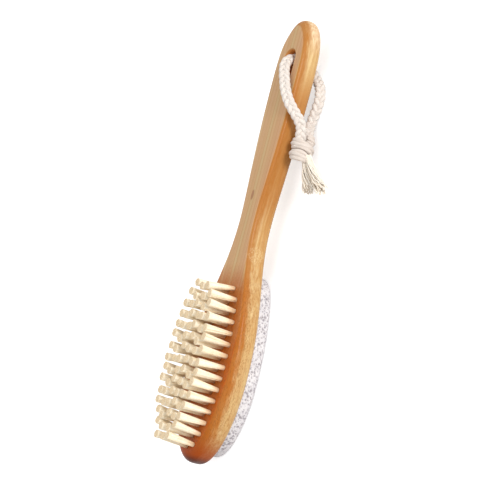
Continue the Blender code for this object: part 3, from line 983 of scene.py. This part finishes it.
# Where a tone fades in: along what, from where to where, and by which shares if not 0 to 1
FADES = {
    "front face": ("Z", FRONT_Z - 0.0004, FRONT_Z - 0.00002),
    "back face": ("Z", BACK_Z + 0.0012, BACK_Z + 0.0002),
    "front edge": ("wavering Z", FRONT_Z - 0.0040, FRONT_Z - 0.0004, 0.0, 0.8),
    "handle from neck": ("X", -0.004, 0.030),
    "handle from end": ("X", 0.106, 0.076, 0.0, 0.7),
    "end highlight": ("X", END_X - 0.024, END_X - 0.006, 0.0, 0.75),
    "below edge": ("Z", FRONT_Z - 0.0020, FRONT_Z - 0.0060),
    "toasted head": ("X", -0.014, -0.034),
    "toasted edge": ("wavering Z", FRONT_Z - 0.0058, FRONT_Z + 0.0020),
    "deep toasted": ("X", -0.020, -0.080, 0.25, 0.75),
    "flecked head": ("X", -0.012, -0.040),
    "flecked front": ("Z", BACK_Z + 0.0030, BACK_Z + 0.0090, 0.30, 0.52),
    "brown tip": ("X", TIP_X + 0.021, TIP_X + 0.003, 0.0, 0.9),
    "tip shadow": ("X", TIP_X + 0.0052, TIP_X + 0.0004, 0.0, 0.9),
    "beside slot": ("from slot in Y", SLOT_WIDTH / 2 + 0.0012, SLOT_WIDTH / 2 + 0.0002),
    "along slot": ("from slot in X", SLOT_LENGTH / 2 + 0.0012, SLOT_LENGTH / 2 + 0.0002),
    "in slot": ("Z", FRONT_Z - 0.0002, FRONT_Z - 0.0014),
    "slot rim": ("Z", FRONT_Z - 0.0075, FRONT_Z - 0.0010),
}
SEAM_FADE = (0.10, 0.0, 0.0, 0.5)
TOASTED_AND_SHADE_SHARES = (0.6, 0.85)
STREAK_SHARES_SIDE_TO_FACE = (0.5, 0.22)
FLECKS_ON_HANDLE = 0.08
SIDE_PALE_SHARE = 0.4
SCAR_SHARE = 0.75


def within(tree, place, centre, reach):
    """1 inside an ellipsoid about that centre, easing to 0 just beyond it."""
    offset = vector_node(tree, "SUBTRACT", place, centre)
    shares = vector_node(tree, "DIVIDE", offset, reach)
    length = node(tree, "ShaderNodeVectorMath", {0: shares}, operation="LENGTH").outputs["Value"]
    return between(tree, length, *MARK_FADE)


def layered(tree, color, *layers):
    """That colour, with others laid over it in turn, each by its share."""
    for share, over in layers:
        color = mix_colors(tree, share, color, over)
    return color


def make_bamboo():
    """Lacquered bamboo: strips of unlike tone on the faces, amber fibres along the sides, and
    a red-brown about the tufts and the head's tip that is partly the wood's own colour and
    partly painted shade. Painted shade also darkens the front edge and the slot, a painted
    shadow darkens the very tip, and a painted highlight lightens the side at the handle's end."""
    material, tree, shader = new_material("lacquered_bamboo", LACQUER)
    place = node(tree, "ShaderNodeTexCoord").outputs["Object"]
    xyz = node(tree, "ShaderNodeSeparateXYZ", {0: place}).outputs
    grain = {name: mottle(tree, place, *pattern) for name, pattern in GRAIN.items()}

    edge_waver = times(tree, grain["edge patches"], EDGE_WAVER)
    past_slot = math_node(tree, "SUBTRACT", xyz["X"], SLOT_CENTRE_X)
    along = {
        "X": xyz["X"],
        "Z": xyz["Z"],
        "wavering Z": math_node(tree, "ADD", xyz["Z"], edge_waver),
        "from slot in X": math_node(tree, "ABSOLUTE", past_slot),
        "from slot in Y": math_node(tree, "ABSOLUTE", xyz["Y"]),
    }
    fade = {name: between(tree, along[way], *run) for name, (way, *run) in FADES.items()}

    # Strips, seen on the two faces
    across = math_node(tree, "ADD", xyz["Y"], times(tree, grain["waver"], STRIP_WAVER))
    strips = {"W": across, "Scale": 1 / STRIP_WIDTH, "Randomness": STRIP_RANDOMNESS}
    strip = node(
        tree, "ShaderNodeTexVoronoi", {**strips, "Smoothness": STRIP_BLEND},
        feature="SMOOTH_F1", voronoi_dimensions="1D",
    ).outputs["Color"]
    seam = node(
        tree, "ShaderNodeTexVoronoi", strips,
        feature="DISTANCE_TO_EDGE", voronoi_dimensions="1D",
    ).outputs["Distance"]
    chance = node(tree, "ShaderNodeSeparateColor", {0: strip}).outputs[0]
    face = node(tree, "ShaderNodeValToRGB", {0: chance})
    face.color_ramp.elements[0].color = srgb(*FACE_TONES[0][1])
    face.color_ramp.elements[1].color = srgb(*FACE_TONES[-1][1])
    for at, color in FACE_TONES[1:-1]:
        face.color_ramp.elements.new(at).color = srgb(*color)

    # Sides, where the saw has crossed the strips at a slant
    side = layered(
        tree, mix_colors(tree, grain["patches"], SIDE_AMBER, SIDE_STRAW),
        (times(tree, grain["pale streaks"], SIDE_PALE_SHARE), SIDE_PALE),
        # Painted shade: a darker amber band along the rounded front edge
        (fade["front edge"], EDGE_AMBER),
        (times(tree, fade["handle from neck"], fade["handle from end"]), EDGE_AMBER),
        # Painted highlight: a pale patch on the side near the handle's end
        (times(tree, fade["end highlight"], fade["below edge"]), PAINTED_END_HIGHLIGHT),
    )
    on_face = math_node(tree, "MAXIMUM", fade["front face"], fade["back face"])
    streak_share = between(tree, on_face, 0.0, 1.0, *STREAK_SHARES_SIDE_TO_FACE)
    wood = layered(
        tree, mix_colors(tree, on_face, side, face.outputs[0]),
        (times(tree, grain["streaks"], streak_share), STREAK),
        (times(tree, between(tree, seam, *SEAM_FADE), on_face), STREAK),
    )

    # Red-brown about the tufts, part wood colour and part painted shade, deepest between them as
    # painted shade; short dark fibre ends, thickest on the head's sides; a browner tip, part
    # colour and part painted shade; and a painted shadow at the very end of the tip
    uneven = between(tree, grain["uneven"], 0.0, 1.0, *TOASTED_AND_SHADE_SHARES)
    toasted_and_shaded = times(tree, fade["toasted head"], fade["toasted edge"], uneven)
    fleck_share = from_to(tree, fade["flecked head"], FLECKS_ON_HANDLE, fade["flecked front"])
    wood = layered(
        tree, wood,
        # Part wood colour and part painted shade about the tufts
        (toasted_and_shaded, TOASTED_AND_SHADE),
        # Painted shade between the tufts on the head's face
        (times(tree, toasted_and_shaded, on_face, fade["deep toasted"]), SHADE_BETWEEN_TUFTS),
        (times(tree, grain["flecks"], fleck_share), FLECK),
        # A browner tip, part the wood's own colour and part painted shade
        (fade["brown tip"], TIP_BROWN),
        # Painted shadow at the very end of the head's tip
        (fade["tip shadow"], PAINTED_TIP_SHADOW),
    )

    # A small scar in the handle's face, the crackle of a bamboo knuckle in its near side, and
    # painted shade on the slot's walls, darker deeper into the slot
    scar = within(tree, place, SCAR_AT, SCAR_REACH)
    knuckle = within(tree, place, KNUCKLE_AT, KNUCKLE_REACH)
    # Painted shade in the slot, darker deeper in
    wall = mix_colors(tree, fade["slot rim"], SLOT_DEPTH_SHADE, SLOT_RIM)
    wood = layered(
        tree, wood,
        (times(tree, scar, SCAR_SHARE), SCAR),
        (times(tree, knuckle, grain["crackle"], SIDE_PALE_SHARE), SIDE_PALE),
        (times(tree, fade["beside slot"], fade["along slot"], fade["in slot"]), wall),
    )

    rough = math_node(tree, "ADD", grain["streaks"], grain["flecks"])
    relief = bump(tree, rough, *GRAIN_RELIEF)
    finish_shader(tree, shader, wood, grain["streaks"], LACQUER_ROUGHNESS, relief)
    return material


body.data.materials.clear()
body.data.materials.append(make_bamboo())
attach(body, "brush")
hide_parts("wooden_body")


# Tufts
# Bundles of stiff, pale plant fibre, folded double and driven into the holes. They splay from
# their roots, and their tips are trimmed level, but not quite evenly.
TUFT_SIZES = {
    "Bristles in a tuft": 76,
    "Bristle radius": 0.00017,
    "Root radius": 0.00114,
    "Tip radius": 0.00225,
    "Length": 0.0177,
    "Waver": 0.0003,
}
TUFT_SINK = 0.0006
TUFT_SWAY = 0.00080
SWAY_ALONG = 2.4
SWAY_ACROSS = 3.7
TIP_ROWS_LEAN = 0.0016
TIP_LEAN_FALL = 2.5
HANDLE_ROWS_LEAN = 0.0018
HANDLE_LEAN_FROM = 0.8
HANDLE_LEAN_RISE = 7.5
BRISTLE_WANDER_SCALE = 420.0
BRISTLE_TIP_SHARE = 0.85
SHORTEST_BRISTLE_SHARE = 0.98
BRISTLE_SIDES = 4
CORE_SIDES = 12
SIDE_SEGMENTS = 3
CORE_SHARE = 0.95
CORE_HEIGHT_SHARE = 0.985
IVORY_TONES = ((255, 243, 219), (253, 233, 196))
ROOT_SHADE_TAN = (242, 202, 150)
SPECK_TAN = (236, 206, 156)
CUT_END_SHADE = (208, 172, 116)
ROOT_FADE = (0.0, 0.5, 0.6, 0.0)
SPECKS = (900.0, 0.45, 0.7)
SPECK_SHARE = 0.3
CUT_SHARE = 0.6
BRISTLE_ROUGHNESS = (0.50, 0.66)


def straight_sided(tree, vertices, root_radius, tip_radius, depth):
    """A cone whose side is shaded smooth, and whose cut end is flat and marked."""
    cone = node(tree, "GeometryNodeMeshCone", {
        "Vertices": vertices,
        "Side Segments": SIDE_SEGMENTS,
        "Radius Top": tip_radius,
        "Radius Bottom": root_radius,
        "Depth": depth,
    }).outputs
    marked = store(tree, cone["Mesh"], "cut", cone["Top"], domain="FACE")
    return node(tree, "GeometryNodeSetShadeSmooth", {
        "Geometry": marked, "Selection": cone["Side"]
    }, domain="FACE").outputs[0]


def turned_to(tree, direction):
    """The rotation that turns +Z to that direction."""
    return node(
        tree, "FunctionNodeAlignRotationToVector", {"Vector": direction}, axis="Z"
    ).outputs[0]


def vector_of(tree, x, y, z):
    return node(tree, "ShaderNodeCombineXYZ", {0: x, 1: y, 2: z}).outputs[0]


def make_tuft_tree(sizes, material):
    """A splayed bundle of bristles on every point, which leans as the point's attribute says."""
    tree, given = geometry_tree("bristle_tufts", sizes)
    length = given["Length"]
    copies = node(tree, "GeometryNodeDuplicateElements", {
        "Geometry": given["Geometry"], "Amount": given["Bristles in a tuft"]
    }, domain="POINT").outputs["Geometry"]
    angle = random_value(tree, 0.0, 2 * math.pi, 1)
    share = math_node(tree, "SQRT", random_value(tree, 0.0, 1.0, 2))
    across = vector_of(tree, *turned_by(tree, share, angle), 0.0)
    root = scaled(tree, across, given["Root radius"])
    lean = stored(tree, "lean", "FLOAT_VECTOR")
    tip = vector_node(tree, "ADD", scaled(tree, across, given["Tip radius"]), lean)
    height = vector_of(tree, 0.0, 0.0, length)
    direction = vector_node(tree, "SUBTRACT", vector_node(tree, "ADD", tip, height), root)
    rooted = moved(tree, copies, root)
    tinted = store(tree, rooted, "tint", random_value(tree, 0.0, 1.0, 4))
    place = node(tree, "GeometryNodeInputPosition").outputs[0]
    up_bristle = math_node(
        tree, "DIVIDE", node(tree, "ShaderNodeSeparateXYZ", {0: place}).outputs[2], length
    )
    bristle = straight_sided(
        tree, BRISTLE_SIDES,
        given["Bristle radius"],
        times(tree, given["Bristle radius"], BRISTLE_TIP_SHARE),
        length,
    )
    standing = on_points(
        tree, tinted, store(tree, bristle, "up", up_bristle),
        Rotation=turned_to(tree, direction),
        Scale=vector_of(tree, 1.0, 1.0, random_value(tree, SHORTEST_BRISTLE_SHARE, 1.0, 6)),
    )
    bristles = node(tree, "GeometryNodeRealizeInstances", {"Geometry": standing}).outputs[0]
    up = stored(tree, "up")
    wander = wandering(tree, place, BRISTLE_WANDER_SCALE)
    level = vector_node(tree, "MULTIPLY", wander, (1.0, 1.0, 0.0))
    bend = times(tree, up, up, given["Waver"])
    swayed = moved(tree, bristles, scaled(tree, level, bend))

    # The bristles inside a tuft, packed too tight to tell apart
    core = straight_sided(
        tree, CORE_SIDES,
        times(tree, given["Root radius"], CORE_SHARE),
        times(tree, given["Tip radius"], CORE_SHARE),
        times(tree, length, CORE_HEIGHT_SHARE),
    )
    cores = on_points(
        tree, given["Geometry"], store(tree, core, "up", up_bristle),
        Rotation=turned_to(tree, vector_node(tree, "ADD", lean, height)),
    )
    both = node(tree, "GeometryNodeJoinGeometry")
    tree.links.new(cores, both.inputs[0])
    tree.links.new(swayed, both.inputs[0])
    return finish_tree(tree, both.outputs[0], material)


def make_bristle_material():
    """Bleached plant fibre: ivory, with painted shade warmer towards the root and darker on the
    cut ends.
    """
    material, tree, shader = new_material("plant_bristle")
    place = node(tree, "ShaderNodeTexCoord").outputs["Object"]
    specks = mottle(tree, place, *SPECKS)
    fibre = layered(
        tree, mix_colors(tree, attribute(tree, "tint"), *IVORY_TONES),
        # Painted shade, warmer towards the roots among the tufts
        (between(tree, attribute(tree, "up"), *ROOT_FADE), ROOT_SHADE_TAN),
        (times(tree, specks, SPECK_SHARE), SPECK_TAN),
        # Painted shade on the cut ends, for the gaps among the fibre ends
        (times(tree, attribute(tree, "cut"), CUT_SHARE), CUT_END_SHADE),
    )
    finish_shader(tree, shader, fibre, specks, BRISTLE_ROUGHNESS)
    return material


sunk_roots = [root - Vector((0, 0, TUFT_SINK)) for root in TUFT_ROOTS]
roots = points_object("bristle_tufts", sunk_roots)
leaning = roots.data.attributes.new("lean", "FLOAT_VECTOR", "POINT")
for index, root in enumerate(TUFT_ROOTS):
    from_tip = (root.x - FIRST_ROW_X) / (ROW_PITCH * ROW_COUNT)
    towards_handle = TIP_ROWS_LEAN * max(0.0, 1 - TIP_LEAN_FALL * from_tip)
    towards_tip = HANDLE_ROWS_LEAN * max(0.0, HANDLE_LEAN_RISE * (from_tip - HANDLE_LEAN_FROM))
    leaning.data[index].vector = (
        towards_handle - towards_tip + TUFT_SWAY * math.sin(index * SWAY_ALONG),
        TUFT_SWAY * math.cos(index * SWAY_ACROSS),
        0.0,
    )
tufts = grown(roots, make_tuft_tree(TUFT_SIZES, make_bristle_material()), TUFT_SIZES)
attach(tufts, "brush")
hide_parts(*("bristle_row_%02d" % (row + 1) for row in range(ROW_COUNT)))


# Pumice stone
# A slab of foamed glass stone, sawn to the head's outline, rounded along its rubbing face and
# glued into the pocket. It is full of open pores, some round and some run together.
STONE_EDGE_RADIUS = 0.0025
STONE_GRAIN = 0.00040
PORE_SIZES = {
    "Large pore": 0.0017,
    "Large depth": 0.0006,
    "Small pore": 0.0010,
    "Small depth": 0.0003,
    "Unevenness": 0.0010,
}
PORE_BEND_SCALE = 700.0
PORE_FLOOR_SHARE = 0.45
LARGE_PORE_REACH = 0.66
SMALL_PORE_REACH = 0.72
SMALL_PORE_SHIFT = 0.4
CHALK_TONES = ((232, 228, 228), (216, 212, 214))
GRIT_GREY = (168, 160, 170)
PORE_SHADE_GREY = (138, 128, 134)
CHALK_CLOUDS = (120.0, 0.3, 0.7)
GRIT = (2600.0, 0.58, 0.66, 2.0)
SAWN_GRAIN = (3200.0, 0.2, 0.8, 4.0)
GRIT_SHARE = 0.35
PORE_SHARE = 0.8
STONE_RELIEF = (0.00012, 0.8)
STONE_ROUGHNESS = (0.88, 1.0)


def make_pore_tree(sizes, material):
    """Open pores of two sizes in a finely meshed surface, pressed in along its normals."""
    tree, given = geometry_tree("pumice_pores", sizes)
    place = node(tree, "GeometryNodeInputPosition").outputs[0]
    bend = node(tree, "ShaderNodeTexNoise", {"Vector": place, "Scale": PORE_BEND_SCALE})
    bent = vector_node(
        tree, "ADD", place, scaled(tree, bend.outputs["Color"], given["Unevenness"])
    )

    def pores(size, shift, widest):
        cells = node(tree, "ShaderNodeTexVoronoi", {
            "Vector": vector_node(tree, "ADD", bent, (shift, shift, 0.0)),
            "Scale": math_node(tree, "DIVIDE", 1.0, size),
            "Randomness": 1.0,
        }).outputs
        chance = node(tree, "ShaderNodeSeparateXYZ", {0: cells["Color"]}).outputs[0]
        reach = times(tree, chance, widest)
        return between(tree, cells["Distance"], reach, times(tree, reach, PORE_FLOOR_SHARE))

    large = pores(given["Large pore"], 0.0, LARGE_PORE_REACH)
    small = pores(given["Small pore"], SMALL_PORE_SHIFT, SMALL_PORE_REACH)
    depth = math_node(
        tree, "MAXIMUM",
        times(tree, large, given["Large depth"]),
        times(tree, small, given["Small depth"]),
    )
    marked = store(tree, given["Geometry"], "pore", math_node(tree, "MAXIMUM", large, small))
    normal = node(tree, "GeometryNodeInputNormal").outputs[0]
    pitted = moved(tree, marked, scaled(tree, normal, times(tree, depth, -1.0)))
    smooth = node(tree, "GeometryNodeSetShadeSmooth", {"Geometry": pitted}).outputs[0]
    return finish_tree(tree, smooth, material)


def make_pumice_material():
    """Chalky white stone with a breath of lavender, and painted shade grey inside its pores."""
    material, tree, shader = new_material("pumice")
    place = node(tree, "ShaderNodeTexCoord").outputs["Object"]
    chalk = layered(
        tree, mix_colors(tree, mottle(tree, place, *CHALK_CLOUDS), *CHALK_TONES),
        (times(tree, mottle(tree, place, *GRIT), GRIT_SHARE), GRIT_GREY),
        # Painted shade inside the pores
        (times(tree, attribute(tree, "pore"), PORE_SHARE), PORE_SHADE_GREY),
    )
    rough = mottle(tree, place, *SAWN_GRAIN)
    relief = bump(tree, rough, *STONE_RELIEF)
    finish_shader(tree, shader, chalk, rough, STONE_ROUGHNESS, relief)
    return material


stone = slab("pumice_slab", stone_outline(0.0), (
    rounded_levels(lambda point: STONE_EDGE_RADIUS, STONE_LOW.z, 1)
    + [plain_level(0, STONE_HIGH.z)]
))
remesh = stone.modifiers.new("even_faces", "REMESH")
remesh.mode = "VOXEL"
remesh.voxel_size = STONE_GRAIN
stone = grown(stone, make_pore_tree(PORE_SIZES, make_pumice_material()), PORE_SIZES)
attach(stone, "brush")
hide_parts("pumice_stone")


# Glue
# A thin bed of clear adhesive between the stone and the floor of its pocket, out of sight.
GLUE_TONES = ((226, 220, 200), (206, 198, 176))
GLUE_ROUGHNESS = (0.25, 0.40)
GLUE_CLOUD_SCALE = 300.0


def make_adhesive():
    """Clear adhesive, set a little cloudy."""
    material, tree, shader = new_material("clear_adhesive")
    place = node(tree, "ShaderNodeTexCoord").outputs["Object"]
    cloud = mottle(tree, place, GLUE_CLOUD_SCALE)
    finish_shader(tree, shader, mix_colors(tree, cloud, *GLUE_TONES), cloud, GLUE_ROUGHNESS)
    return material


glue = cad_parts["pumice_adhesive"]
glue.data.materials.clear()
glue.data.materials.append(make_adhesive())


# Floor and light
# A white floor, a broad soft light low on the near side, and a weaker one overhead.
FLOOR_SIZE = 8.0
FLOOR_DROP = 0.0002
FLOOR_GLOW = 0.55
FLOOR_PAINT = {
    "Base Color": (0.8, 0.8, 0.8, 1),
    "Roughness": 0.9,
    "Specular IOR Level": 0.1,
    "Emission Color": (1, 1, 1, 1),
}
WORLD_STRENGTH = 0.78
LIGHTS = {
    "near_side_light": {"at": (0.35, -1.15, 0.20), "size": 0.45, "power": 9.0},
    "overhead_light": {"at": (-0.10, -0.30, 1.10), "size": 0.9, "power": 1.6},
}


def seen_directly(tree):
    """1 to the camera, in reflections and through glass, and 0 as a source of light."""
    rays = node(tree, "ShaderNodeLightPath").outputs
    bounced = math_node(tree, "MAXIMUM", rays["Is Glossy Ray"], rays["Is Transmission Ray"])
    return math_node(tree, "MAXIMUM", rays["Is Camera Ray"], bounced)


bpy.ops.mesh.primitive_plane_add(size=FLOOR_SIZE, location=(0, 0, -FLOOR_DROP))
floor = bpy.context.object
floor.name = "floor"
floor_material, floor_tree, floor_shader = new_material("white_floor", FLOOR_PAINT)
floor_glow = times(floor_tree, seen_directly(floor_tree), FLOOR_GLOW)
floor_tree.links.new(floor_glow, floor_shader.inputs["Emission Strength"])
floor.data.materials.append(floor_material)

world = bpy.data.worlds.new("studio")
bpy.context.scene.world = world
world.use_nodes = True
sky = world.node_tree
background = sky.nodes["Background"]
background.inputs["Color"].default_value = (1, 1, 1, 1)
world_level = from_to(sky, seen_directly(sky), WORLD_STRENGTH, 1.0)
sky.links.new(world_level, background.inputs["Strength"])

for name, light in LIGHTS.items():
    lamp = bpy.data.lights.new(name, "AREA")
    lamp.shape = "DISK"
    lamp.size = light["size"]
    lamp.energy = light["power"]
    lit_from = placed(name, lamp)
    lit_from.location = light["at"]
    lit_from.rotation_euler = (-Vector(light["at"])).to_track_quat("-Z", "Y").to_euler()

bpy.context.scene.view_settings.view_transform = "Standard"
